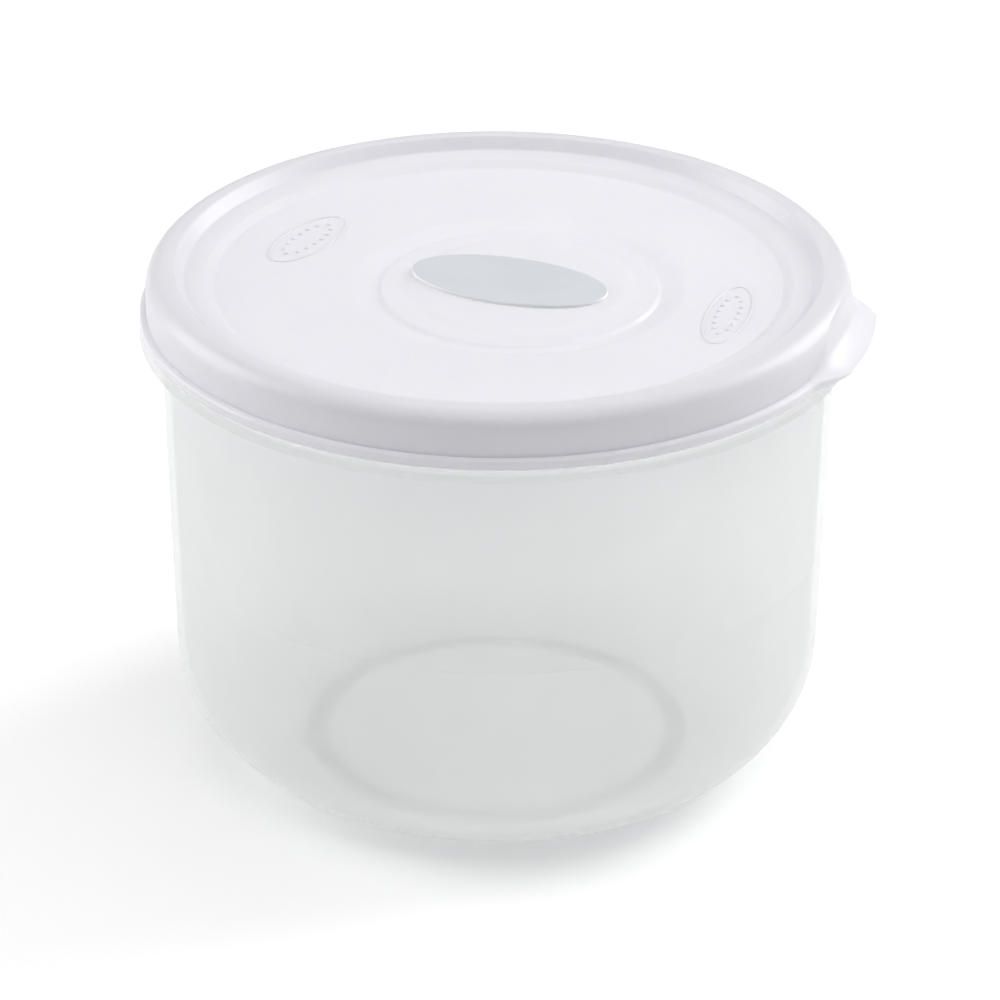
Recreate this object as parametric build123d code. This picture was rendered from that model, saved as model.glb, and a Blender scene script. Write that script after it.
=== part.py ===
from build123d import *
import math
import os

# A round food tub for setting yogurt, with a soft snap lid and an oval badge.
# Millimetres, +Z up, origin at the centre of the tub's flat base, +X through the
# lid's pull tab.

# ---- Tub ----
tub_radius = 72.4  # outside of the wall and of the rim
tub_height = 112.4  # base to the top of the rim
tub_wall = 1.5
tub_floor = 1.7
wall_draft = 1.5  # degrees; the wall narrows towards the base
foot_radius = 28.0  # outside curve from wall to base
flange_reach = 4.6  # how far the flange stands out from the wall
flange_thickness = 2.6
rim_length = 10.8  # from the flange's top to the rim's top
rim_bead_reach = 1.2  # rolled bead round the rim's top
rim_bead_height = 2.6

# ---- Lid ----
lid_wall = 1.5
rim_clearance = 0.3  # between the rim and each side of the lid's channel
flange_gap = 0.5  # between the flange and the lid's lower edge
bead_reach = 1.4  # lower bead of the skirt
bead_height = 2.3
crest_width = 1.7  # flat top of the raised edge, inside the shoulder
shoulder_radius = 4.4
step_width = 2.1  # sloping wall from the crest down to the ledge
step_depth = 2.6
ledge_width = 4.2
ledge_fall = 0.7
panel_width = 2.1  # sloping wall from the ledge down to the panel
panel_depth = 1.25
seal_depth = 5.0  # how far the seal lip reaches below the channel's roof
seal_thickness = 1.3

# ---- Pull tab ----
tab_reach = 4.2  # beyond the lower bead
tab_width = 35.0  # at the tip
tab_root = 52.0  # where it runs out into the lower bead
tab_corner = 8.0
tab_blend = 12.0  # inside curve from the tab's flank to the bead
tab_lip = 2.0  # height of the tab's outer edge
tab_rise = 9.2  # how far up the skirt the tab's sloping face starts
tab_hollow = 1.2  # how far the tab's face dips below a straight slope

# ---- Hub: a round plateau inside a shallow ring groove, carrying the badge ----
hub_turn = -7.0  # degrees from the tab to the badge's long axis
hub_offset = 4.9  # hub centre from the lid's axis, along the badge's long axis
plateau_radius = 22.0
groove_radius = 36.0
groove_depth = 1.2

# ---- Badge ----
badge_length = 44.0
badge_width = 22.6
badge_thickness = 1.2
badge_offset = 2.5  # badge centre from the lid's axis, along its long axis
badge_sink = 0.3  # depth of the seat that locates it
badge_clearance = 0.12
badge_edge = 0.35

# ---- Small roundings ----
fine_round = 0.4
edge_round = 0.8
panel_round = 1.1

# ---- Heights and radii that follow ----
flange_radius = tub_radius + flange_reach
flange_top = tub_height - rim_length
flange_bottom = flange_top - flange_thickness
draft_slope = math.tan(math.radians(wall_draft))
foot_outer = tub_radius - flange_bottom * draft_slope
foot_inner = foot_outer + tub_floor * draft_slope - tub_wall
rim_inner = tub_radius - tub_wall
rim_bead_radius = tub_radius + rim_bead_reach

channel_roof = tub_height
lid_top = channel_roof + lid_wall
skirt_bottom = flange_top + flange_gap
skirt_inner = rim_bead_radius + rim_clearance
skirt_radius = skirt_inner + lid_wall
bead_radius = skirt_radius + bead_reach
bead_top = skirt_bottom + bead_height
seal_outer = rim_inner - rim_clearance
seal_inner = seal_outer - seal_thickness
seal_bottom = channel_roof - seal_depth
crest_inner = skirt_radius - shoulder_radius - crest_width
ledge_outer = crest_inner - step_width
ledge_inner = ledge_outer - ledge_width
panel_radius = ledge_inner - panel_width
ledge_high = lid_top - step_depth
ledge_low = ledge_high - ledge_fall
panel_top = ledge_low - panel_depth
panel_under = panel_top - lid_wall

tab_tip = bead_radius + tab_reach
beyond_tab = tab_tip + fine_round
inside_skirt = skirt_radius - lid_wall / 2
tab_top = skirt_bottom + tab_rise
lip_top = skirt_bottom + tab_lip


def turned(corners):
    """Solid of revolution about Z from (radius, height, corner rounding) triples."""
    points = [(radius, 0, height) for radius, height, rounding in corners]
    roundings = [rounding for radius, height, rounding in corners]
    outline = FilletPolyline(*points, radius=roundings, close=True)
    return revolve(make_face(outline), axis=Axis.Z)


def on_hub(shape, distance, height):
    """Places a shape on the badge's long axis, at a distance from the lid's axis."""
    return Rot(0, 0, hub_turn) * Pos(distance, 0, height) * shape


def make_tub():
    return turned(
        [
            (0, 0, 0),
            (foot_outer, 0, foot_radius),
            (tub_radius, flange_bottom, edge_round),
            (flange_radius, flange_bottom, edge_round),
            (flange_radius, flange_top, edge_round),
            (tub_radius, flange_top, fine_round),
            (tub_radius, tub_height - rim_bead_height, 0),
            (rim_bead_radius, tub_height - rim_bead_height + rim_bead_reach, fine_round),
            (rim_bead_radius, tub_height, fine_round),
            (rim_inner, tub_height, fine_round),
            (rim_inner, flange_bottom, 0),
            (foot_inner, tub_floor, foot_radius - tub_wall),
            (0, tub_floor, 0),
        ]
    )


def make_lid_shell():
    return turned(
        [
            (0, panel_top, 0),
            (panel_radius, panel_top, panel_round),
            (ledge_inner, ledge_low, panel_round),
            (ledge_outer, ledge_high, panel_round),
            (crest_inner, lid_top, panel_round),
            (skirt_radius, lid_top, shoulder_radius),
            (skirt_radius, bead_top, 0),
            (bead_radius, bead_top, edge_round),
            (bead_radius, skirt_bottom, fine_round),
            (skirt_inner, skirt_bottom, fine_round),
            (skirt_inner, channel_roof, fine_round),
            (seal_outer, channel_roof, fine_round),
            (seal_outer, seal_bottom, fine_round),
            (seal_inner, seal_bottom, fine_round),
            (seal_inner, ledge_high - lid_wall, fine_round),
            (ledge_inner, ledge_low - lid_wall, 0),
            (panel_radius, panel_under, 0),
            (0, panel_under, 0),
        ]
    )


def tab_plan(shrink):
    """Plan of the pull tab: an arc at the tip, with flanks that run out into the lower bead."""
    root_radius = bead_radius - fine_round - shrink
    tip_radius = tab_tip - shrink
    root = Vector(math.sqrt(root_radius**2 - (tab_root / 2 - shrink) ** 2), tab_root / 2 - shrink)
    tip = Vector(math.sqrt(tip_radius**2 - (tab_width / 2 - shrink) ** 2), tab_width / 2 - shrink)
    beyond = tip + (tip - root)
    wedge = Polyline(
        (0, 0),
        (root.X, -root.Y),
        (beyond.X, -beyond.Y),
        (beyond.X, beyond.Y),
        (root.X, root.Y),
        close=True,
    )
    plan = (make_face(wedge) & Circle(tip_radius)) + Circle(root_radius)
    for spot, rounding in ((tip, tab_corner), (root, tab_blend)):
        corners = [v for v in plan.vertices() if abs(abs(v.Y) - spot.Y) < fine_round and v.X > 0]
        plan = fillet(corners, rounding)
    return plan


def under_tab_face(shrink):
    """Solid of revolution below the tab's hollowed sloping face, lowered by shrink."""
    inner = (inside_skirt, 0, skirt_bottom)
    start = (inside_skirt, 0, tab_top - shrink)
    finish = (beyond_tab, 0, lip_top - shrink)
    outer = (beyond_tab, 0, skirt_bottom)
    middle = (
        (start[0] + finish[0]) / 2 - tab_hollow,
        0,
        (start[2] + finish[2]) / 2 - tab_hollow,
    )
    outline = [
        Line(inner, start),
        ThreePointArc(start, middle, finish),
        Line(finish, outer),
        Line(outer, inner),
    ]
    return revolve(make_face(outline), axis=Axis.Z)


def make_tab():
    """Pull tab: a hollow-backed lip that flares out of the skirt, just above its lower edge."""
    lower_edge = skirt_bottom + fine_round
    block = Pos(0, 0, lower_edge) * extrude(tab_plan(0), amount=tab_rise)
    tab = block & under_tab_face(0)
    hollow_block = Pos(0, 0, skirt_bottom) * extrude(tab_plan(lid_wall), amount=tab_rise)
    hollow = (hollow_block & under_tab_face(lid_wall)) - Cylinder(skirt_radius - fine_round, 4 * lid_top)
    return tab - hollow


def groove_outline(height):
    """Closed outline between the groove's curve and the panel, at a given panel height."""
    middle = (plateau_radius + groove_radius) / 2
    bed = ThreePointArc(
        (plateau_radius, 0, height),
        (middle, 0, height - groove_depth),
        (groove_radius, 0, height),
    )
    lid_line = Line((groove_radius, 0, height), (plateau_radius, 0, height))
    return make_face([bed, lid_line])


def make_groove(height):
    return on_hub(revolve(groove_outline(height), axis=Axis.Z), hub_offset, 0)


def oval(length, width, thickness):
    return extrude(Ellipse(length / 2, width / 2), amount=thickness)


def make_lid():
    seat = oval(
        badge_length + 2 * badge_clearance,
        badge_width + 2 * badge_clearance,
        badge_sink + groove_depth,
    )
    lid = make_lid_shell() + make_tab() + make_groove(panel_under)
    return lid - make_groove(panel_top) - on_hub(seat, badge_offset, panel_top - badge_sink)


def make_badge():
    badge = oval(badge_length, badge_width, badge_thickness)
    badge = fillet(badge.faces().sort_by(Axis.Z)[-1].edges(), badge_edge)
    return on_hub(badge, badge_offset, panel_top - badge_sink)


parts = {
    "tub": make_tub(),
    "lid": make_lid(),
    "badge": make_badge(),
}

os.makedirs("parts", exist_ok=True)
for name, shape in parts.items():
    export_step(shape, f"parts/{name}.step")
    print(name, "volume", round(shape.volume / 1000, 2), "cm3", shape.bounding_box().size)
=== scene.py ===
import math

import bmesh
import bpy
from bpy.props import FloatProperty, FloatVectorProperty, IntProperty, PointerProperty
from bpy.types import Operator, Panel, PropertyGroup
from mathutils import Matrix, Vector


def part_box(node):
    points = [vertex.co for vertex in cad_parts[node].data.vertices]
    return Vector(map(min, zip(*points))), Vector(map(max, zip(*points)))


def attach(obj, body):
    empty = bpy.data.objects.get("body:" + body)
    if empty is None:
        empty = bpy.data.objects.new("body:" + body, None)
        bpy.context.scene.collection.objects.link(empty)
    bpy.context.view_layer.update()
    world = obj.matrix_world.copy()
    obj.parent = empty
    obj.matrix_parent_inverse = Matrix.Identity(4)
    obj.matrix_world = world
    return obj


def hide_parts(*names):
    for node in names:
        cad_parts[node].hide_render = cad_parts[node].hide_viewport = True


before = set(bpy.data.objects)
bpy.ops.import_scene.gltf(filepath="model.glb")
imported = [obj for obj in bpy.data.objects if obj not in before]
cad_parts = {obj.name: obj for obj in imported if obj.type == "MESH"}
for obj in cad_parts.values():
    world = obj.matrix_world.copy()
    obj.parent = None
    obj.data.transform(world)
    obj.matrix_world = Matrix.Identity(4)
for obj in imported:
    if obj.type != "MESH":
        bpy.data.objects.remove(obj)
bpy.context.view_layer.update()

# A round tub for setting yogurt, with a soft snap lid and an oval badge, and the stage it stands on.
# Metres, +Z up, origin at the centre of the tub's base, +X through the lid's pull tab.

bl_info = {
    "name": "Yogurt tub",
    "version": (1, 0, 0),
    "blender": (4, 5, 0),
    "location": "View3D > Sidebar > Yogurt tub",
    "description": "Builds a translucent round tub with a snap lid and an oval badge",
    "category": "Object",
}

TUB_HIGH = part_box("tub")[1]
LID_LOW, LID_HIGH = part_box("lid")
BADGE_LOW, BADGE_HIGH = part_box("badge")

FLANGE_RADIUS = TUB_HIGH.x
BEAD_RADIUS = -LID_LOW.x
TAB_RADIUS = LID_HIGH.x

TUB_SIDES = 224
TUB_ARC_STEPS = 12
BADGE_SIDES = 128
BADGE_TOP_RINGS = 8
TAB_SIDES = 40  # either side of the tab's middle
LID_SIDES = 210  # round the rest of the lid
SHARP_EDGE = math.radians(35)
THIN_HOLD = 0.0001  # flat left beside the roundings of thin edges
TINY = 1e-7


# ---- Settings ----


def length(name, description, default):
    """A size property in metres."""
    return FloatProperty(
        name=name, description=description, default=default, min=0.0, unit="LENGTH", precision=5
    )


def angle(name, description, degrees):
    """An angle property, given in degrees."""
    return FloatProperty(
        name=name, description=description, default=math.radians(degrees), subtype="ANGLE"
    )


def share(name, description, default):
    """A property between nought and one."""
    return FloatProperty(
        name=name, description=description, default=default, min=0.0, max=1.0, subtype="FACTOR"
    )


def number(name, description, default):
    """A plain number property."""
    return FloatProperty(name=name, description=description, default=default, min=0.0)


def colour(name, description, default):
    """A colour property."""
    return FloatVectorProperty(
        name=name, description=description, default=default, size=3, min=0, max=1, subtype="COLOR"
    )


class TubSettings(PropertyGroup):
    """Sizes and finish of the tub."""

    wall: length("Wall", "Thickness of the wall", 0.0015)
    floor: length("Floor", "Thickness of the floor", 0.0017)
    draft: angle("Draft", "How far the wall leans inwards towards the base", 1.5)
    foot_radius: length("Foot radius", "Outside curve from the wall to the base", 0.028)
    flange_reach: length("Flange reach", "How far the flange stands out from the wall", 0.0046)
    flange_thickness: length("Flange thickness", "Height of the flange's edge", 0.0026)
    rim_length: length("Rim length", "From the flange's top to the rim's top", 0.0108)
    rim_bead_reach: length("Rim bead", "How far the bead stands out from the rim", 0.0012)
    rim_bead_height: length("Rim bead height", "Height of the bead round the rim's top", 0.0026)
    level_height: length("Level line height", "Height of the fill line above the base", 0.0525)
    level_relief: length("Level line relief", "How far the fill line stands proud", 0.00014)
    recess_radius: length("Base recess radius", "Radius of the shallow recess under the base", 0.037)
    recess_depth: length("Base recess depth", "Depth of the recess under the base", 0.0006)
    tint: colour("Tint", "Colour of the milky plastic", (0.92, 0.915, 0.912))
    cloud_tint: colour("Cloud tint", "Colour where the plastic is a little thicker", (0.931, 0.926, 0.924))
    clear_tint: colour("Clear tint", "Colour of what is seen through a surface", (0.97, 0.98, 0.98))
    roughness: share("Roughness", "Roughness of the moulded surface", 0.30)
    grain_depth: length("Grain depth", "Depth of the surface's grain", 0.00006)
    solidity: share("Solidity", "How much of the view each surface blocks", 0.50)
    glow: share("Glow", "How much light the plastic passes on from behind", 0.78)


class LidSettings(PropertyGroup):
    """Sizes and finish of the lid."""

    wall: length("Wall", "Thickness of the lid", 0.0015)
    rim_clearance: length("Rim clearance", "Gap each side of the tub's rim", 0.0003)
    bead_height: length("Bead height", "Height of the skirt's lower bead", 0.0023)
    bead_reach: length("Bead reach", "How far the lower bead stands out from the skirt", 0.0014)
    shoulder: length("Shoulder", "Rounding from the crest to the skirt", 0.0044)
    crest_width: length("Crest width", "Flat top of the raised edge", 0.0017)
    step_width: length("Step width", "Slope from the crest to the ledge, in plan", 0.0021)
    step_depth: length("Step depth", "Drop from the crest to the ledge", 0.0026)
    ledge_width: length("Ledge width", "Width of the ledge", 0.0042)
    ledge_fall: length("Ledge fall", "Fall across the ledge", 0.0007)
    panel_width: length("Panel slope", "Slope from the ledge to the panel, in plan", 0.0021)
    panel_depth: length("Panel depth", "Drop from the ledge to the panel", 0.00125)
    panel_round: length("Panel rounding", "Rounding of the steps", 0.0008)
    fine_round: length("Fine rounding", "Rounding of the thin edges", 0.0004)
    edge_round: length("Edge rounding", "Rounding of the lower bead", 0.0008)
    lip_round: length("Lip rounding", "Rounding of the tab's thin lip", 0.00025)
    seal_depth: length("Seal depth", "How far the seal lip hangs below the channel", 0.005)
    seal_thickness: length("Seal thickness", "Thickness of the seal lip", 0.0013)
    tab_flat: angle("Tab half angle", "Half of the tab's tip, seen from the lid's axis", 9.5)
    tab_fade: angle("Tab fade angle", "Where the tab has run out into the bead", 18.5)
    tab_arch: angle("Tab arch angle", "Half width of the arch where the tab leaves the skirt", 17.5)
    tab_squareness: number("Tab squareness", "How long the arch keeps its height before it falls", 3.2)
    tab_rise: length("Tab rise", "Top of the arch above the lid's lower edge", 0.0106)
    tab_lip: length("Tab lip", "Height of the tab's outer edge", 0.002)
    tab_lift: length("Tab lift", "Underside of the tab's lip above the lid's lower edge", 0.0013)
    tab_hollow: length("Tab hollow", "Dip of the tab's sloping face", 0.0021)
    hub_turn: angle("Hub turn", "From the pull tab to the badge's long axis", -7.0)
    hub_offset: length("Hub offset", "Hub centre from the lid's axis", 0.0049)
    plateau_radius: length("Plateau radius", "Round plateau that carries the badge", 0.022)
    plateau_slope: length("Plateau slope", "Width of the slope round the plateau", 0.0035)
    valley_radius: length("Valley radius", "Lowest line of the ring groove", 0.0304)
    valley_step: length("Valley step", "Height of the crisp step inside the valley", 0.0006)
    valley_edge: length("Valley edge", "Width of that step", 0.0009)
    groove_radius: length("Groove radius", "Outer edge of the ring groove", 0.036)
    groove_depth: length("Groove depth", "Depth of the ring groove", 0.0012)
    tint: colour("Tint", "Colour of the white plastic", (0.905, 0.90, 0.93))
    worn_tint: colour("Worn tint", "Colour where the surface is rubbed", (0.89, 0.885, 0.915))
    roughness: share("Roughness", "Roughness of the moulded surface", 0.30)
    grain_depth: length("Grain depth", "Depth of the surface's grain", 0.00006)
    glow: share("Glow", "How much light the thin lid passes on from behind", 0.42)


class MarkSettings(PropertyGroup):
    """The two moulded oval marks on the lid's panel."""

    line: length("Line width", "Width of the oval's raised line", 0.0006)
    relief: length("Relief", "Height of the raised line", 0.00026)
    dot: length("Dot size", "Width of a raised dot", 0.0011)
    dots: IntProperty(name="Dots", description="Raised dots inside each oval", default=14, min=3)
    left_radius: length("Left mark radius", "Left mark from the lid's axis", 0.0468)
    left_angle: angle("Left mark angle", "Left mark from the pull tab", 166.7)
    left_turn: angle("Left mark turn", "Long axis of the left mark", 74.8)
    left_length: length("Left mark length", "Long axis of the left mark", 0.027)
    left_width: length("Left mark width", "Short axis of the left mark", 0.011)
    right_radius: length("Right mark radius", "Right mark from the lid's axis", 0.0512)
    right_angle: angle("Right mark angle", "Right mark from the pull tab", -5.6)
    right_turn: angle("Right mark turn", "Long axis of the right mark", 89.8)
    right_length: length("Right mark length", "Long axis of the right mark", 0.029)
    right_width: length("Right mark width", "Short axis of the right mark", 0.009)


class BadgeSettings(PropertyGroup):
    """Sizes and finish of the badge."""

    long_axis: length("Length", "Long axis of the oval", 0.044)
    short_axis: length("Width", "Short axis of the oval", 0.0226)
    offset: length("Offset", "Badge centre from the lid's axis", 0.0025)
    edge: length("Edge rounding", "Rounding of the upper edge", 0.00035)
    crown: length("Crown", "Rise of the top towards its centre", 0.00015)
    tint: colour("Tint", "Colour of the badge's face", (0.61, 0.638, 0.672))
    # Painted highlight: a paler colour painted on the badge's side below its top rounding, standing in for
    # the light its edge catches
    edge_highlight_tint: colour("Side tint", "Colour of the badge's bare edge", (0.86, 0.87, 0.89))
    roughness: share("Roughness", "Roughness of the badge", 0.38)
    grain_depth: length("Grain depth", "Depth of the surface's grain", 0.00004)


class StageSettings(PropertyGroup):
    """Camera, lights and floor."""

    azimuth: angle("Azimuth", "Direction of the camera round the tub", 13.8)
    elevation: angle("Elevation", "Height of the camera as an angle", 24.77)
    distance: length("Distance", "Camera to the middle of the tub's flange", 1.078)
    tilt: angle("Tilt", "How far the camera looks below the flange", 2.108)
    pan: angle("Pan", "How far the camera looks aside", -0.034)
    roll: angle("Roll", "Roll of the camera", 0.315)
    lens: number("Lens", "Focal length in millimetres", 180.7)
    sensor: number("Sensor", "Width of the camera's sensor in millimetres", 36.0)
    far_clip: length("Far clip", "How far the camera sees", 50.0)
    floor_tint: colour("Floor", "Colour of the floor", (0.94, 0.94, 0.94))
    floor_glow: number("Floor glow", "Light that the lit table top gives off by itself", 0.05)
    floor_size: length("Floor size", "Radius of the floor", 6.0)
    top_power: number("Top light", "Watts of the overhead softbox", 16.4)
    front_power: number("Front light", "Watts of the high softbox in front", 2.0)
    left_power: number("Left light", "Watts of the softbox on the left", 11.2)
    right_power: number("Right light", "Watts of the softbox behind on the right", 11.4)
    side_power: number("Side light", "Watts of the low softbox on the right", 0.2)
    sky: number("Sky", "Strength of the even light all round", 0.02)


SETTINGS = {
    "yogurt_tub": TubSettings,
    "yogurt_lid": LidSettings,
    "yogurt_marks": MarkSettings,
    "yogurt_badge": BadgeSettings,
    "yogurt_stage": StageSettings,
}


# ---- Mesh work ----


def rounded(corners, steps=6, hold=0.0003):
    """Closed outline through (radius, height, rounding) corners, each rounding an arc of steps facets.

    A rounded corner also gets a point a little way along each straight run, which keeps the run flat.
    """
    points = []
    for index, (radius, height, rounding) in enumerate(corners):
        here = Vector((radius, height))
        back = Vector(corners[index - 1][:2]) - here
        ahead = Vector(corners[(index + 1) % len(corners)][:2]) - here
        if rounding < TINY:
            points.append(here)
            continue
        turn = math.pi - back.angle(ahead)
        reach = rounding * math.tan(turn / 2)
        start = here + back.normalized() * reach
        bisector = (back.normalized() + ahead.normalized()).normalized()
        centre = here + bisector * rounding / math.cos(turn / 2)
        side = math.copysign(1, ahead.x * back.y - ahead.y * back.x)
        points.append(start + back.normalized() * min(hold, (back.length - reach) / 3))
        for step in range(steps + 1):
            bend = Matrix.Rotation(side * turn * step / steps, 2)
            points.append(centre + bend @ (start - centre))
        points.append(here + ahead.normalized() * (reach + min(hold, (ahead.length - reach) / 3)))
    return points


def even_angles(count):
    """Angles all round, evenly spaced."""
    return [math.tau * index / count for index in range(count)]


def link(name, data):
    """Adds an object to the scene."""
    made = bpy.data.objects.new(name, data)
    bpy.context.scene.collection.objects.link(made)
    return made


def finish_mesh(name, bm, material):
    """Turns a closed bmesh into an object with outward faces, smooth apart from its real edges."""
    if bm.calc_volume(signed=True) < 0:
        bmesh.ops.reverse_faces(bm, faces=bm.faces)
    mesh = bpy.data.meshes.new(name)
    bm.to_mesh(mesh)
    bm.free()
    mesh.materials.append(material)
    mesh.shade_smooth()
    mesh.set_sharp_from_angle(angle=SHARP_EDGE)
    return link(name, mesh)


def turned(name, outline_at, angles, material, place=Matrix.Identity(4)):
    """Closed solid swept round Z. outline_at gives the outline at an angle, always with as many points."""
    bm = bmesh.new()
    rings = []
    poles = {}
    for turn in angles:
        ring = []
        for index, (radius, height) in enumerate(outline_at(turn)):
            if radius < TINY:
                if index not in poles:
                    poles[index] = bm.verts.new(place @ Vector((0, 0, height)))
                ring.append(poles[index])
            else:
                spot = Vector((radius * math.cos(turn), radius * math.sin(turn), height))
                ring.append(bm.verts.new(place @ spot))
        rings.append(ring)
    for ring, following in zip(rings, rings[1:] + rings[:1]):
        for index in range(len(ring)):
            corners = [ring[index - 1], ring[index], following[index], following[index - 1]]
            distinct = list(dict.fromkeys(corners))
            if len(distinct) > 2:
                bm.faces.new(distinct)
    return finish_mesh(name, bm, material)


def smooth_step(value):
    """Nought below nought, one above one, and an even curve between them."""
    value = min(max(value, 0.0), 1.0)
    return value * value * (3 - 2 * value)


# ---- Materials ----


class Value:
    """A number on a shader socket. Sums and products of it add Math nodes."""

    def __init__(self, shader, socket):
        self.shader = shader
        self.socket = socket

    def maths(self, operation, *terms):
        """A Math node over the terms."""
        made = self.shader.node("ShaderNodeMath", {"operation": operation}, dict(enumerate(terms)))
        return Value(self.shader, made.outputs[0])

    def __add__(self, other):
        return self.maths("ADD", self, other)

    def __rsub__(self, other):
        return self.maths("SUBTRACT", other, self)

    def __mul__(self, other):
        return self.maths("MULTIPLY", self, other)

    __radd__ = __add__
    __rmul__ = __mul__


class Shader:
    """A material and its nodes."""

    # Places of the colour sockets on a Mix node.
    MIX_FACTOR = 0
    MIX_FIRST = 6
    MIX_SECOND = 7
    MIX_COLOUR = 2

    def __init__(self, name):
        self.material = bpy.data.materials.get(name) or bpy.data.materials.new(name)
        self.material.use_nodes = True
        self.tree = self.material.node_tree
        self.tree.nodes.clear()
        self.coordinates = self.node("ShaderNodeTexCoord").outputs["Object"]

    def node(self, kind, settings=None, sockets=None):
        """Adds a node. Settings are its own properties; sockets holds its inputs' values or links."""
        made = self.tree.nodes.new(kind)
        for key, value in (settings or {}).items():
            setattr(made, key, value)
        for key, value in (sockets or {}).items():
            source = value.socket if isinstance(value, Value) else value
            if isinstance(source, bpy.types.NodeSocket):
                self.tree.links.new(source, made.inputs[key])
            elif isinstance(source, tuple) and len(source) == 3 and made.inputs[key].type == "RGBA":
                made.inputs[key].default_value = (*source, 1.0)
            else:
                made.inputs[key].default_value = source
        return made

    def noise(self, scale, detail=2.0, distortion=0.0, coordinates=None):
        """Noise from nought to one, with scale as cells in a metre."""
        made = self.node("ShaderNodeTexNoise", {}, {
            "Vector": coordinates or self.coordinates,
            "Scale": scale,
            "Detail": detail,
            "Distortion": distortion,
        })
        return Value(self, made.outputs["Fac"])

    def height(self):
        """Height above the floor."""
        made = self.node("ShaderNodeSeparateXYZ", {}, {"Vector": self.coordinates})
        return Value(self, made.outputs["Z"])

    def ramp(self, value, low, high):
        """Value spread over nought to one, between low and high."""
        sockets = {"Value": value, "From Min": low, "From Max": high}
        made = self.node("ShaderNodeMapRange", {"interpolation_type": "SMOOTHSTEP"}, sockets)
        return Value(self, made.outputs["Result"])

    def stretched(self, scale):
        """Object coordinates multiplied along the axes, so that a small factor draws a pattern out."""
        made = self.node("ShaderNodeMapping", {}, {"Vector": self.coordinates, "Scale": scale})
        return made.outputs["Vector"]

    def mix(self, factor, first, second):
        """Colour between first and second."""
        sockets = {self.MIX_FACTOR: factor, self.MIX_FIRST: first, self.MIX_SECOND: second}
        return self.node("ShaderNodeMix", {"data_type": "RGBA"}, sockets).outputs[self.MIX_COLOUR]

    def blend(self, factor, first, second):
        """Surface between first and second."""
        return self.node("ShaderNodeMixShader", {}, {0: factor, 1: first, 2: second}).outputs[0]

    def see_through(self, colour):
        """Surface that lets the view through, tinted."""
        return self.node("ShaderNodeBsdfTransparent", {}, {"Color": colour}).outputs["BSDF"]

    def lit_from_behind(self, colour, normal):
        """Surface that passes on the light that falls on its back."""
        sockets = {"Color": colour, "Normal": normal}
        return self.node("ShaderNodeBsdfTranslucent", {}, sockets).outputs["BSDF"]

    def principled(self, **sockets):
        """Principled surface. The names of its inputs are written with underscores."""
        named = {name.replace("_", " "): value for name, value in sockets.items()}
        return self.node("ShaderNodeBsdfPrincipled", {}, named).outputs["BSDF"]

    def bump(self, height, strength, distance):
        """Normal from a height."""
        sockets = {"Height": height, "Strength": strength, "Distance": distance}
        return self.node("ShaderNodeBump", {}, sockets).outputs["Normal"]

    def finish(self, socket):
        """Sets what the material shows."""
        output = self.node("ShaderNodeOutputMaterial")
        self.tree.links.new(socket, output.inputs["Surface"])
        return self.material


def milky_plastic(settings):
    """Natural polypropylene: milky, satin, with faint clouds and flow streaks, and a view through it."""
    shader = Shader("milky_polypropylene")
    clouds = shader.noise(scale=26.0, detail=3.0, distortion=0.6)
    tall, flat = shader.stretched((1.0, 1.0, 0.18)), shader.stretched((1.0, 1.0, 3.0))
    streaks = shader.noise(scale=60.0, detail=3.0, distortion=0.2, coordinates=tall)
    grain = shader.noise(scale=2600.0)
    scuffs = shader.noise(scale=420.0, detail=4.0, distortion=1.2, coordinates=flat)
    body = shader.ramp(clouds * 0.8 + streaks * 0.2, low=0.3, high=0.7)
    tint = shader.mix(body, tuple(settings.tint), tuple(settings.cloud_tint))
    roughness = settings.roughness + 0.10 * shader.ramp(scuffs, low=0.45, high=0.75) + 0.05 * streaks
    relief = shader.bump(grain * 0.6 + streaks * 0.4, strength=0.18, distance=settings.grain_depth)
    front = shader.principled(
        Base_Color=tint, Roughness=roughness, Normal=relief, IOR=1.49, Specular_IOR_Level=0.45
    )
    milk = shader.blend(settings.glow, front, shader.lit_from_behind(tint, relief))
    solidity = settings.solidity - 0.01 + 0.02 * body
    return shader.finish(shader.blend(solidity, shader.see_through(tuple(settings.clear_tint)), milk))


def lid_plastic(settings):
    """Soft white polyethylene: half gloss, with a faint skin texture and light handling marks."""
    shader = Shader("white_lid_polyethylene")
    clouds = shader.noise(scale=32.0, detail=3.0, distortion=0.4)
    rubbed = shader.ramp(shader.noise(scale=95.0, detail=5.0, distortion=1.5), low=0.52, high=0.80)
    peel = shader.noise(scale=700.0)
    grain = shader.noise(scale=3200.0)
    wear = 0.6 * shader.ramp(clouds, low=0.35, high=0.65) + 0.4 * rubbed
    tint = shader.mix(wear, tuple(settings.tint), tuple(settings.worn_tint))
    roughness = settings.roughness - 0.03 + 0.07 * rubbed + 0.06 * clouds
    relief = shader.bump(peel * 0.7 + grain * 0.3, strength=0.16, distance=settings.grain_depth)
    front = shader.principled(
        Base_Color=tint,
        Roughness=roughness,
        Normal=relief,
        IOR=1.5,
        Subsurface_Weight=0.25,
        Subsurface_Radius=(0.0012, 0.0010, 0.0013),
        Subsurface_Scale=1.0,
    )
    return shader.finish(shader.blend(settings.glow, front, shader.lit_from_behind(tint, relief)))


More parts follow.
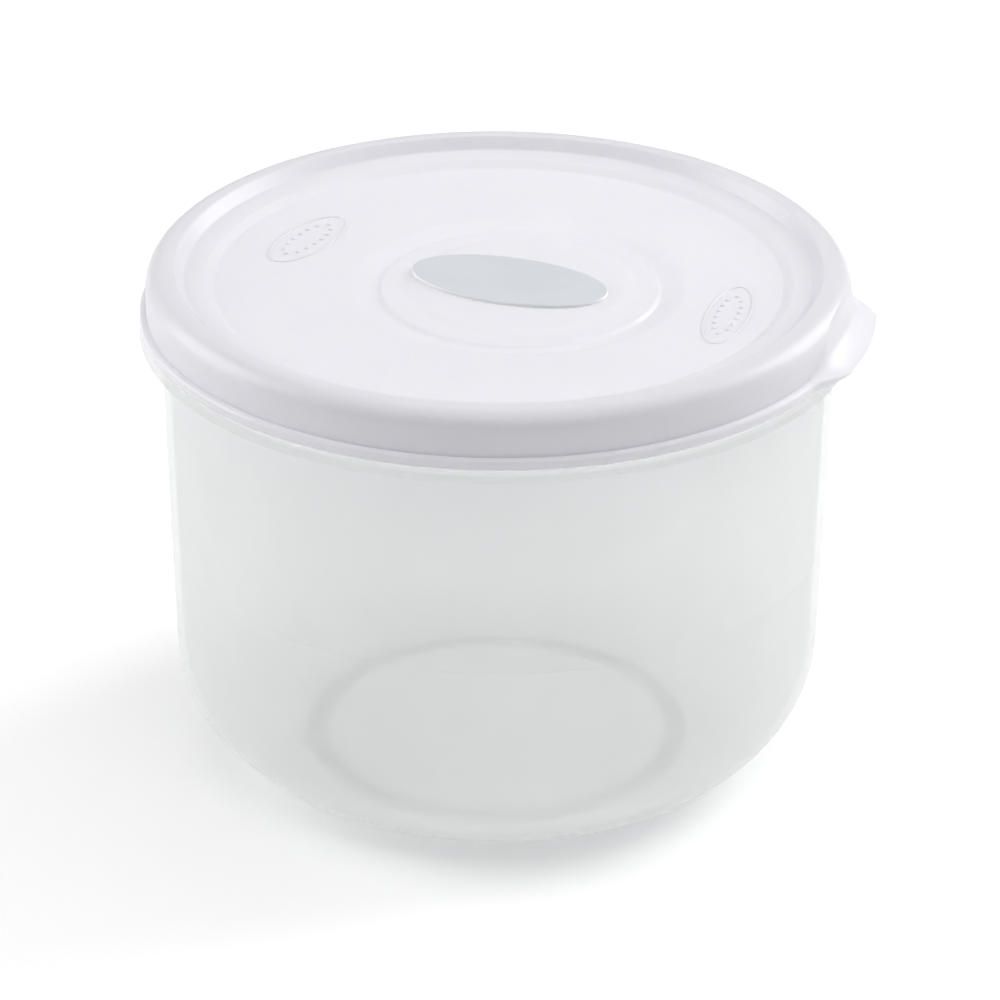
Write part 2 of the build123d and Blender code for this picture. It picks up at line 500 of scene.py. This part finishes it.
def badge_plastic(settings):
    """Pale grey-blue plastic with a fine satin grain, and a painted highlight: its side is painted paler.
    """
    shader = Shader("grey_blue_badge")
    clouds = shader.noise(scale=80.0, detail=3.0, distortion=0.3)
    grain = shader.noise(scale=4200.0)
    rubbed = shader.ramp(shader.noise(scale=260.0, detail=4.0, distortion=1.0), low=0.5, high=0.8)
    darker = tuple(channel * 0.97 for channel in settings.tint)
    face = shader.mix(shader.ramp(clouds, low=0.35, high=0.65), tuple(settings.tint), darker)
    # Painted highlight: below the top rounding the side is painted in the paler colour, for the light the
    # badge's edge catches
    edge_low = BADGE_HIGH.z - settings.edge
    side = 1 - shader.ramp(shader.height(), low=edge_low, high=edge_low + settings.edge / 2)
    tint = shader.mix(side, face, tuple(settings.edge_highlight_tint))
    roughness = settings.roughness - 0.03 + 0.08 * rubbed
    relief = shader.bump(grain, strength=0.2, distance=settings.grain_depth)
    return shader.finish(shader.principled(Base_Color=tint, Roughness=roughness, Normal=relief))


def floor_paint(settings):
    """Pale matt floor with a barely visible unevenness."""
    shader = Shader("pale_floor")
    uneven = shader.noise(scale=3.0)
    low = tuple(channel * 0.985 for channel in settings.floor_tint)
    tint = shader.mix(uneven, low, tuple(settings.floor_tint))
    return shader.finish(shader.principled(
        Base_Color=tint,
        Roughness=0.9,
        Specular_IOR_Level=0.1,
        Emission_Color=tint,
        Emission_Strength=settings.floor_glow,
    ))


# ---- The tub ----


def tub_outline(tub, lid):
    """Closed outline of the tub's wall, from the middle of the base, up the outside and down the inside."""
    height = TUB_HIGH.z
    radius = FLANGE_RADIUS - tub.flange_reach
    flange_top = height - tub.rim_length
    flange_bottom = flange_top - tub.flange_thickness
    slope = math.tan(tub.draft)
    foot = radius - flange_bottom * slope
    rim_inner = radius - tub.wall
    rim_bead = radius + tub.rim_bead_reach
    bead_low = height - tub.rim_bead_height
    foot_inner = foot + tub.floor * slope - tub.wall
    level = tub.level_height
    level_half = 3 * tub.level_relief

    def wall_at(z):
        return foot + z * slope

    return rounded([
        (0.0, tub.recess_depth, 0),
        (tub.recess_radius, tub.recess_depth, 0),
        (tub.recess_radius + tub.recess_depth, 0.0, 0),
        (foot, 0.0, tub.foot_radius),
        (wall_at(level - level_half), level - level_half, 0),
        (wall_at(level) + tub.level_relief, level, 0),
        (wall_at(level + level_half), level + level_half, 0),
        (radius, flange_bottom, lid.edge_round),
        (FLANGE_RADIUS, flange_bottom, lid.edge_round),
        (FLANGE_RADIUS, flange_top, lid.edge_round),
        (radius, flange_top, lid.fine_round),
        (radius, bead_low, 0),
        (rim_bead, bead_low + tub.rim_bead_reach, lid.fine_round),
        (rim_bead, height, lid.fine_round),
        (rim_inner, height, lid.fine_round),
        (rim_inner, flange_bottom, 0),
        (foot_inner, tub.floor, tub.foot_radius - tub.wall),
        (0.0, tub.floor, 0),
    ], steps=TUB_ARC_STEPS)


class YOGURT_OT_tub(Operator):
    """Makes the tub from its outline"""

    bl_idname = "yogurt.tub"
    bl_label = "Tub"

    def execute(self, context):
        scene = context.scene
        outline = tub_outline(scene.yogurt_tub, scene.yogurt_lid)
        material = milky_plastic(scene.yogurt_tub)
        tub = turned("tub_body", lambda turn: outline, even_angles(TUB_SIDES), material)
        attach(tub, "tub")
        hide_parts("tub")
        return {"FINISHED"}


# ---- The lid ----


class LidShape:
    """The lid's section at any angle. The pull tab and the hub are the two places where it isn't round."""

    FINE_RING = 0.0004
    COARSE_RING = 0.002
    SKIRT_POINTS = 18
    FACE_POINTS = 10
    CAVITY_POINTS = 7

    def __init__(self, lid, tub):
        self.lid = lid
        rim_radius = FLANGE_RADIUS - tub.flange_reach
        self.roof = TUB_HIGH.z
        self.low = LID_LOW.z
        self.skirt = BEAD_RADIUS - lid.bead_reach
        self.skirt_inner = self.skirt - lid.wall
        self.bead_top = self.low + lid.bead_height
        self.seal_outer = rim_radius - tub.wall - lid.rim_clearance
        self.seal_inner = self.seal_outer - lid.seal_thickness
        self.crest_inner = self.skirt - lid.shoulder - lid.crest_width
        self.ledge_outer = self.crest_inner - lid.step_width
        self.ledge_inner = self.ledge_outer - lid.ledge_width
        self.panel = self.ledge_inner - lid.panel_width
        self.ledge_high = LID_HIGH.z - lid.step_depth
        self.ledge_low = self.ledge_high - lid.ledge_fall
        self.panel_top = self.ledge_low - lid.panel_depth
        self.cavity_end = self.skirt - lid.fine_round
        self.cavity_step = lid.fine_round / 8
        self.hub = Vector((math.cos(lid.hub_turn), math.sin(lid.hub_turn))) * lid.hub_offset
        self.rings = self.panel_rings()
        self.steps = self.step_points()
        self.inside = self.inside_points()

    def panel_rings(self):
        """Radii of the panel's rings, fine where the hub's slopes lie."""
        fine_from = self.lid.plateau_radius - self.lid.hub_offset
        fine_to = self.lid.groove_radius + self.lid.hub_offset
        end = self.panel - self.lid.panel_round
        rings = [0.0]
        while rings[-1] < end - self.FINE_RING:
            fine = fine_from < rings[-1] < fine_to
            rings.append(min(rings[-1] + (self.FINE_RING if fine else self.COARSE_RING), end))
        return rings

    def hub_height(self, radius, turn):
        """Height of the panel above its flat part, at a place given by radius and angle."""
        lid = self.lid
        spot = Vector((radius * math.cos(turn), radius * math.sin(turn)))
        away = (spot - self.hub).length
        fall = smooth_step((lid.groove_radius - away) / (lid.groove_radius - lid.valley_radius))
        step = smooth_step((lid.valley_radius - away) / lid.valley_edge)
        rise = smooth_step((lid.plateau_radius + lid.plateau_slope - away) / lid.plateau_slope)
        slope = lid.groove_depth - lid.valley_step
        return lid.valley_step * step + slope * rise - lid.groove_depth * fall

    def tab_share(self, turn):
        """One over the tab's tip, falling to nought where the tab has run out into the bead."""
        aside = abs(math.remainder(turn, math.tau))
        return 1 - smooth_step((aside - self.lid.tab_flat) / (self.lid.tab_fade - self.lid.tab_flat))

    def arch_share(self, turn):
        """Height of the arch where the tab leaves the skirt, as a share of its top."""
        aside = abs(math.remainder(turn, math.tau)) / self.lid.tab_arch
        return max(0.0, 1 - aside ** self.lid.tab_squareness)

    def skirt_points(self, crease):
        """Points from the crest's outer end, over the shoulder and down the skirt, to a height."""
        lid = self.lid
        centre = Vector((self.skirt - lid.shoulder, LID_HIGH.z - lid.shoulder))
        stop = math.asin(min(max((crease - centre.y) / lid.shoulder, 0.0), 1.0))
        arc = lid.shoulder * (math.pi / 2 - stop)
        total = arc + max(centre.y - crease, 0.0)
        points = []
        for index in range(self.SKIRT_POINTS):
            along = total * index / (self.SKIRT_POINTS - 1)
            if along <= arc + TINY:
                lift = math.pi / 2 - along / lid.shoulder
                points.append(centre + lid.shoulder * Vector((math.cos(lift), math.sin(lift))))
            else:
                points.append(Vector((self.skirt, centre.y - (along - arc))))
        return points

    def panel_points(self, turn):
        """Points of the panel's top at an angle, from its middle outwards."""
        heights = [self.panel_top + self.hub_height(radius, turn) for radius in self.rings]
        return [Vector(point) for point in zip(self.rings, heights)]

    def step_points(self):
        """Points up the steps from the panel to the crest. Both end corners only aim the rounding."""
        lid = self.lid
        return rounded([
            (0.0, self.panel_top, 0),
            (self.panel, self.panel_top, lid.panel_round),
            (self.ledge_inner, self.ledge_low, lid.panel_round),
            (self.ledge_outer, self.ledge_high, lid.panel_round),
            (self.crest_inner, LID_HIGH.z, lid.panel_round),
            (self.skirt - lid.shoulder, LID_HIGH.z, 0),
            (self.skirt, self.low, 0),
        ])[2:-2]

    def dip(self, along, arch):
        """How far the tab's face lies below a straight slope, a share of the way along it."""
        return self.lid.tab_hollow * arch * 4 * along * (1 - along)

    def face_points(self, start, end, arch):
        """Points of the tab's hollowed face, from the skirt to the lip."""
        span = end - start
        inward = Vector((span.y, -span.x)).normalized()
        points = []
        for index in range(1, self.FACE_POINTS):
            along = index / self.FACE_POINTS
            points.append(start + span * along + inward * self.dip(along, arch))
        return points

    def cavity_points(self, start, end, arch, lip_low, lip_inner):
        """Points underneath, from the lip in to the skirt: flat below the bead, hollow below the tab."""
        lid = self.lid
        span = end - start
        points = [Vector((lip_inner, lip_low))]
        for index in range(self.CAVITY_POINTS):
            radius = lip_inner + (self.cavity_end - lip_inner) * (index + 0.5) / self.CAVITY_POINTS
            inwards = min(max((end.x - radius) / span.x, 0.0), 1.0)
            slope = end.y + inwards * (start.y - end.y) - self.dip(inwards, arch) * span.length / span.x
            room = max(0.0, slope - lid.wall - self.low)
            points.append(Vector((radius, self.cavity_step + max(lip_low, self.low + room * arch))))
        points.append(Vector((self.cavity_end, self.low)))
        return points

    def inside_points(self):
        """Points of the channel that takes the rim, the seal lip, and the underside of the steps."""
        lid = self.lid
        seal_low = self.roof - lid.seal_depth
        return rounded([
            (self.cavity_end, self.low, 0),
            (self.skirt_inner, self.low, lid.fine_round),
            (self.skirt_inner, self.roof, lid.fine_round),
            (self.seal_outer, self.roof, lid.fine_round),
            (self.seal_outer, seal_low, lid.fine_round),
            (self.seal_inner, seal_low, lid.fine_round),
            (self.seal_inner, self.ledge_high - lid.wall, lid.fine_round),
            (self.ledge_inner, self.ledge_low - lid.wall, lid.fine_round),
            (self.panel, self.panel_top - lid.wall, lid.fine_round),
            (0.0, self.panel_top - lid.wall, 0),
        ], steps=4)[1:-1]

    def outline(self, turn):
        """Closed section of the lid at an angle, from the panel's middle outwards and back underneath."""
        lid = self.lid
        tab = self.tab_share(turn)
        arch = self.arch_share(turn)
        crease = self.bead_top + arch * (self.low + lid.tab_rise - self.bead_top)
        reach = BEAD_RADIUS + tab * (TAB_RADIUS - BEAD_RADIUS)
        lip_top = self.bead_top + tab * (self.low + lid.tab_lip - self.bead_top)
        lip_low = self.low + tab * lid.tab_lift
        top_round = lid.edge_round + tab * (lid.lip_round - lid.edge_round)
        low_round = lid.fine_round + tab * (lid.lip_round - lid.fine_round)

        panel = self.panel_points(turn)
        skirt = self.skirt_points(crease)
        end = Vector((reach - top_round, lip_top))
        face = self.face_points(skirt[-1], end, arch)
        lip = rounded([
            (self.skirt, lip_top, 0),
            (reach, lip_top, top_round),
            (reach, lip_low, low_round),
            (self.skirt, lip_low, 0),
        ], hold=THIN_HOLD / 2)[1:-1]
        lip_inner = reach - lid.fine_round - lid.wall / 2
        cavity = self.cavity_points(skirt[-1], end, arch, lip_low, lip_inner)
        under = [point - Vector((0, lid.wall)) for point in reversed(panel[::2])]
        return panel + self.steps + skirt + face + lip + cavity + self.inside + under


def lid_angles(fade):
    """Angles round the lid, finer over the pull tab."""
    near = [fade * index / TAB_SIDES for index in range(-TAB_SIDES, TAB_SIDES + 1)]
    far = [fade + (math.tau - 2 * fade) * index / LID_SIDES for index in range(1, LID_SIDES)]
    return near + far


class YOGURT_OT_lid(Operator):
    """Makes the lid, with its pull tab and hub"""

    bl_idname = "yogurt.lid"
    bl_label = "Lid"
    PAST_TAB = 1.05  # how far the finer angles reach past the tab, as a share of it

    def execute(self, context):
        scene = context.scene
        shape = LidShape(scene.yogurt_lid, scene.yogurt_tub)
        angles = lid_angles(scene.yogurt_lid.tab_fade * self.PAST_TAB)
        lid = turned("lid_shell", shape.outline, angles, lid_plastic(scene.yogurt_lid))
        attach(lid, "lid")
        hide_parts("lid")
        return {"FINISHED"}


# ---- The moulded marks ----


class GeometryTree:
    """A Geometry Nodes tree with named inputs."""

    def __init__(self, name, inputs):
        self.tree = bpy.data.node_groups.new(name, "GeometryNodeTree")
        self.tree.interface.new_socket("Geometry", in_out="OUTPUT", socket_type="NodeSocketGeometry")
        self.sockets = {}
        for label, kind in inputs.items():
            socket = self.tree.interface.new_socket(label, in_out="INPUT", socket_type=kind)
            self.sockets[label] = socket.identifier
        self.inputs = self.tree.nodes.new("NodeGroupInput").outputs
        self.output = self.tree.nodes.new("NodeGroupOutput")

    def node(self, kind, sockets):
        """Adds a node and gives its first output. Sockets holds the values or links of its inputs."""
        made = self.tree.nodes.new(kind)
        for key, value in sockets.items():
            for source in value if isinstance(value, list) else [value]:
                if isinstance(source, bpy.types.NodeSocket):
                    self.tree.links.new(source, made.inputs[key])
                else:
                    made.inputs[key].default_value = source
        return made.outputs[0]

    def moved(self, geometry, **sockets):
        """Geometry scaled, turned or moved."""
        return self.node("GeometryNodeTransform", {"Geometry": geometry, **sockets})

    def finish(self, geometry, material):
        """Realizes the instances, sets the material and ends the tree."""
        solid = self.node("GeometryNodeRealizeInstances", {"Geometry": geometry})
        painted = self.node("GeometryNodeSetMaterial", {"Geometry": solid, "Material": material})
        self.tree.links.new(painted, self.output.inputs[0])

    def bake(self, name, values):
        """Makes a plain mesh object of the tree with these input values."""
        holder = link(f"{name}_holder", bpy.data.meshes.new(f"{name}_holder"))
        modifier = holder.modifiers.new(name, "NODES")
        modifier.node_group = self.tree
        for label, value in values.items():
            modifier[self.sockets[label]] = value
        bpy.context.view_layer.update()
        evaluated = holder.evaluated_get(bpy.context.evaluated_depsgraph_get())
        mesh = bpy.data.meshes.new_from_object(evaluated)
        mesh.name = name
        holder.modifiers.clear()
        bpy.data.objects.remove(holder)
        mesh.shade_smooth()
        return link(name, mesh)


def oval_tree():
    """A raised oval line with a ring of raised dots inside it."""
    tree = GeometryTree("Moulded oval", {
        "Oval": "NodeSocketVector",
        "Dot ring": "NodeSocketVector",
        "Line radius": "NodeSocketFloat",
        "Dot radius": "NodeSocketFloat",
        "Dots": "NodeSocketInt",
        "Flatness": "NodeSocketVector",
        "Place": "NodeSocketVector",
        "Turn": "NodeSocketVector",
        "Material": "NodeSocketMaterial",
    })
    given = tree.inputs
    circle = tree.node("GeometryNodeCurvePrimitiveCircle", {"Resolution": 72, "Radius": 1.0})
    oval = tree.moved(circle, Scale=given["Oval"])
    line_round = {"Resolution": 8, "Radius": given["Line radius"]}
    section = tree.node("GeometryNodeCurvePrimitiveCircle", line_round)
    line = tree.node("GeometryNodeCurveToMesh", {"Curve": oval, "Profile Curve": section})
    ring = tree.moved(circle, Scale=given["Dot ring"])
    spots = tree.node("GeometryNodeResampleCurve", {"Curve": ring, "Count": given["Dots"]})
    dot_round = {"Segments": 12, "Rings": 6, "Radius": given["Dot radius"]}
    dot = tree.node("GeometryNodeMeshUVSphere", dot_round)
    dots = tree.node("GeometryNodeInstanceOnPoints", {"Points": spots, "Instance": dot})
    joined = tree.node("GeometryNodeJoinGeometry", {"Geometry": [line, dots]})
    flat = tree.moved(joined, Scale=given["Flatness"])
    placed = tree.moved(flat, Translation=given["Place"], Rotation=given["Turn"])
    tree.finish(placed, given["Material"])
    return tree


class YOGURT_OT_marks(Operator):
    """Makes the two moulded oval marks on the lid's panel"""

    bl_idname = "yogurt.marks"
    bl_label = "Moulded marks"

    def execute(self, context):
        scene = context.scene
        marks = scene.yogurt_marks
        shape = LidShape(scene.yogurt_lid, scene.yogurt_tub)
        tree = oval_tree()
        material = lid_plastic(scene.yogurt_lid)
        for side in ("left", "right"):
            sizes = ("radius", "angle", "turn", "length", "width")
            radius, turn, lean, long_axis, short_axis = (
                getattr(marks, f"{side}_{size}") for size in sizes
            )
            piece = tree.bake(f"lid_mark_{side}", {
                "Oval": (long_axis / 2, short_axis / 2, 1.0),
                "Dot ring": (long_axis / 3, short_axis / 4, 1.0),
                "Line radius": marks.line / 2,
                "Dot radius": marks.dot / 2,
                "Dots": marks.dots,
                "Flatness": (1.0, 1.0, 2 * marks.relief / marks.line),
                "Place": (radius * math.cos(turn), radius * math.sin(turn), shape.panel_top),
                "Turn": (0.0, 0.0, lean),
                "Material": material,
            })
            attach(piece, "lid")
        return {"FINISHED"}


# ---- The badge ----


class YOGURT_OT_badge(Operator):
    """Makes the oval badge"""

    bl_idname = "yogurt.badge"
    bl_label = "Badge"

    def execute(self, context):
        scene = context.scene
        badge = scene.yogurt_badge
        half_long = badge.long_axis / 2
        half_short = badge.short_axis / 2

        def outline(turn):
            """Closed section of the badge at an angle, crowned on top."""
            across = math.hypot(half_short * math.cos(turn), half_long * math.sin(turn))
            reach = half_long * half_short / across
            shoulder = BADGE_HIGH.z - badge.crown
            top = []
            for index in range(BADGE_TOP_RINGS):
                out = index / BADGE_TOP_RINGS
                top.append(Vector((reach * out, BADGE_HIGH.z - badge.crown * out ** 2)))
            side = rounded([
                (top[-1].x, shoulder, 0),
                (reach, shoulder, badge.edge),
                (reach, BADGE_LOW.z, badge.edge / 2),
                (0.0, BADGE_LOW.z, 0),
            ], hold=THIN_HOLD)[1:]
            return top + side

        turn = scene.yogurt_lid.hub_turn
        place = Matrix.Rotation(turn, 4, "Z") @ Matrix.Translation((badge.offset, 0, 0))
        plate = turned("badge_plate", outline, even_angles(BADGE_SIDES), badge_plastic(badge), place)
        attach(plate, "lid")
        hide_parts("badge")
        return {"FINISHED"}


# ---- The stage ----


def softbox(name, target, place, size, power):
    """A square area light at place that faces target."""
    light = bpy.data.lights.new(name, "AREA")
    light.shape = "SQUARE"
    light.size = size
    light.energy = power
    lamp = link(name, light)
    lamp.location = place
    lamp.rotation_euler = (place - target).to_track_quat("Z", "Y").to_euler()


def lay_floor(stage):
    """A wide round floor at the height of the tub's base."""
    bm = bmesh.new()
    bmesh.ops.create_circle(bm, cap_ends=True, segments=64, radius=stage.floor_size)
    mesh = bpy.data.meshes.new("floor")
    bm.to_mesh(mesh)
    bm.free()
    mesh.materials.append(floor_paint(stage))
    floor = link("floor", mesh)


def hang_lights(stage):
    """The softboxes. Their places are as the camera has them: +X right, -Y towards it, +Z up."""
    target = Vector((0, 0, TUB_HIGH.z / 2))
    around = Matrix.Rotation(stage.azimuth, 4, "Z")
    for name, place, size, power in (
        ("top_softbox", (0.25, -0.1, 1.25), 1.8, stage.top_power),
        ("front_softbox", (0.0, -0.9, 1.1), 0.9, stage.front_power),
        ("left_softbox", (-1.1, 0.25, 0.5), 0.9, stage.left_power),
        ("right_softbox", (1.0, 0.55, 0.6), 0.8, stage.right_power),
        ("side_softbox", (1.2, 0.0, 0.45), 0.8, stage.side_power),
    ):
        softbox(name, target, around @ Vector(place), size, power)


def light_sky(stage):
    """Weak white light from everywhere."""
    world = bpy.data.worlds.new("even_sky")
    world.use_nodes = True
    background = world.node_tree.nodes["Background"]
    background.inputs["Color"].default_value = (1.0, 1.0, 1.0, 1.0)
    background.inputs["Strength"].default_value = stage.sky
    bpy.context.scene.world = world


def set_camera(stage, flange):
    """The camera, at a distance from the middle of the flange, and aimed a little below it."""
    lens = bpy.data.cameras.new("camera")
    lens.sensor_width = stage.sensor
    lens.lens = stage.lens
    lens.clip_end = stage.far_clip
    camera = link("camera", lens)
    around = Matrix.Rotation(stage.azimuth, 4, "Z")
    away = around @ Vector((0, -math.cos(stage.elevation), math.sin(stage.elevation)))
    aim = Matrix.Rotation(stage.azimuth + stage.pan, 4, "Z")
    aim @= Matrix.Rotation(math.pi / 2 - stage.elevation - stage.tilt, 4, "X")
    aim @= Matrix.Rotation(stage.roll, 4, "Z")
    camera.matrix_world = Matrix.Translation(flange + stage.distance * away) @ aim
    bpy.context.scene.camera = camera
    bpy.context.scene.view_settings.view_transform = "Standard"


class YOGURT_OT_stage(Operator):
    """Makes the floor, the lights and the camera"""

    bl_idname = "yogurt.stage"
    bl_label = "Stage"

    def execute(self, context):
        scene = context.scene
        stage = scene.yogurt_stage
        lay_floor(stage)
        hang_lights(stage)
        light_sky(stage)
        flange_middle = TUB_HIGH.z - scene.yogurt_tub.rim_length - scene.yogurt_lid.fine_round
        set_camera(stage, Vector((0, 0, flange_middle)))
        return {"FINISHED"}


class YOGURT_PT_panel(Panel):
    """Lists the tub's pieces and their sizes"""

    bl_idname = "YOGURT_PT_panel"
    bl_label = "Yogurt tub"
    bl_space_type = "VIEW_3D"
    bl_region_type = "UI"
    bl_category = "Yogurt tub"

    def draw(self, context):
        for operator, (group, settings) in zip(OPERATORS, SETTINGS.items()):
            box = self.layout.box()
            box.operator(operator.bl_idname)
            for name in settings.__annotations__:
                box.prop(getattr(context.scene, group), name)


OPERATORS = (YOGURT_OT_tub, YOGURT_OT_lid, YOGURT_OT_marks, YOGURT_OT_badge, YOGURT_OT_stage)


def register():
    """Adds the settings, operators and panel to Blender."""
    for group, settings in SETTINGS.items():
        bpy.utils.register_class(settings)
        setattr(bpy.types.Scene, group, PointerProperty(type=settings))
    for item in (*OPERATORS, YOGURT_PT_panel):
        bpy.utils.register_class(item)


def unregister():
    """Takes them away again."""
    for item in (YOGURT_PT_panel, *reversed(OPERATORS)):
        bpy.utils.unregister_class(item)
    for group, settings in reversed(SETTINGS.items()):
        delattr(bpy.types.Scene, group)
        bpy.utils.unregister_class(settings)


def main():
    """Builds every piece and the stage."""
    register()
    bpy.ops.yogurt.tub()
    bpy.ops.yogurt.lid()
    bpy.ops.yogurt.marks()
    bpy.ops.yogurt.badge()
    bpy.ops.yogurt.stage()


if __name__ == "__main__":
    main()
